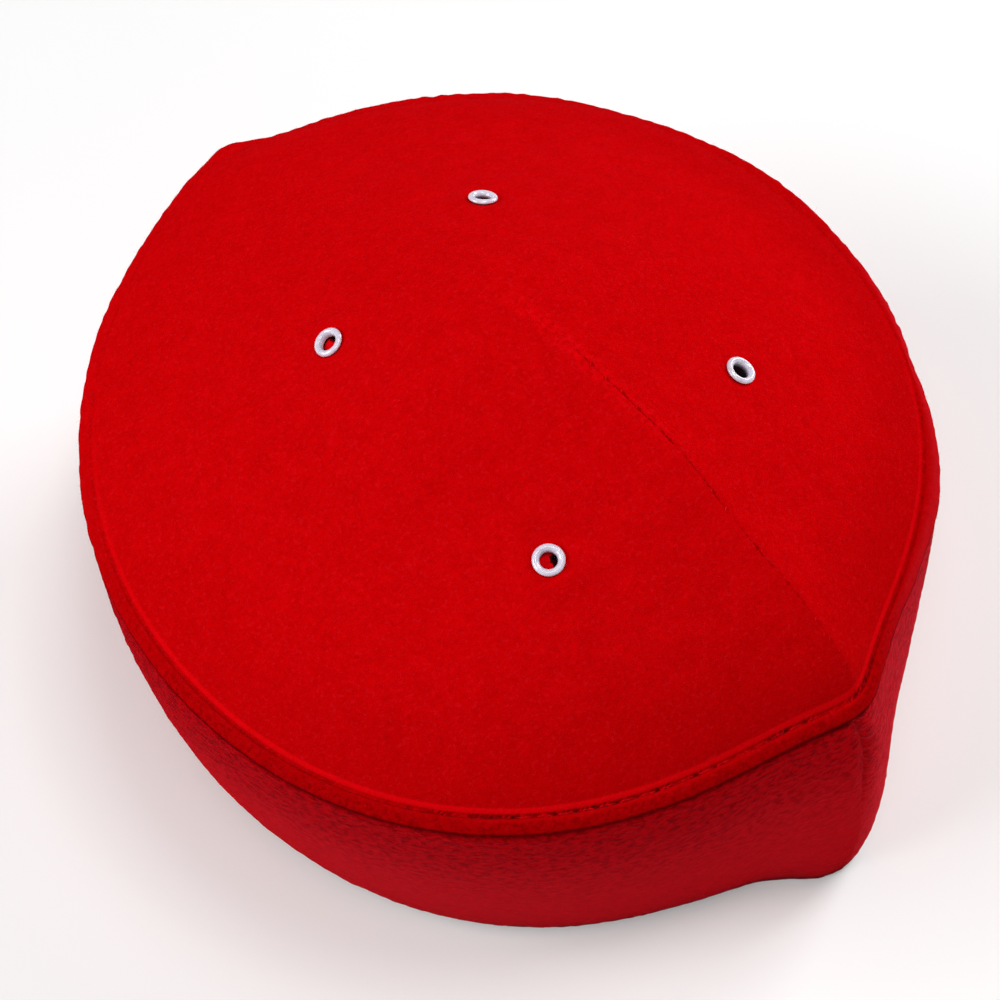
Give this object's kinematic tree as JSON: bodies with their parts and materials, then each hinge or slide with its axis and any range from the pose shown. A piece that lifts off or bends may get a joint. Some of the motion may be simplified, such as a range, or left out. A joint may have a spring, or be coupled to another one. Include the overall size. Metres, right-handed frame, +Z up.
{
  "type": "felt fez hat",
  "caption": "Low round felt cap with a pointed front and back corner, a pinched ridge on its crown, a rolled rim and enamelled vent eyelets.",
  "frame": {"origin": "centre of the hat's box, at the height of the foot it stands on", "axes": "+Z up, the front corner with the stitched ridge towards -Y, the wearer's left towards +X"},
  "size_m": [0.189, 0.2144, 0.1153],
  "materials": {
    "felt_crown": "brushed red wool felt",
    "felt_band": "brushed red wool felt",
    "felt_lining": "plain red felt",
    "eyelet_enamel": "glossy white enamel"
  },
  "bodies": {
    "root": {"top_panel": "felt_crown", "top_lining": "felt_lining", "side_band_left": "felt_band", "side_band_right": "felt_band", "eyelet_front_left": "eyelet_enamel", "eyelet_front_right": "eyelet_enamel", "eyelet_back_left": "eyelet_enamel", "eyelet_back_right": "eyelet_enamel"}
  },
  "joints": []
}
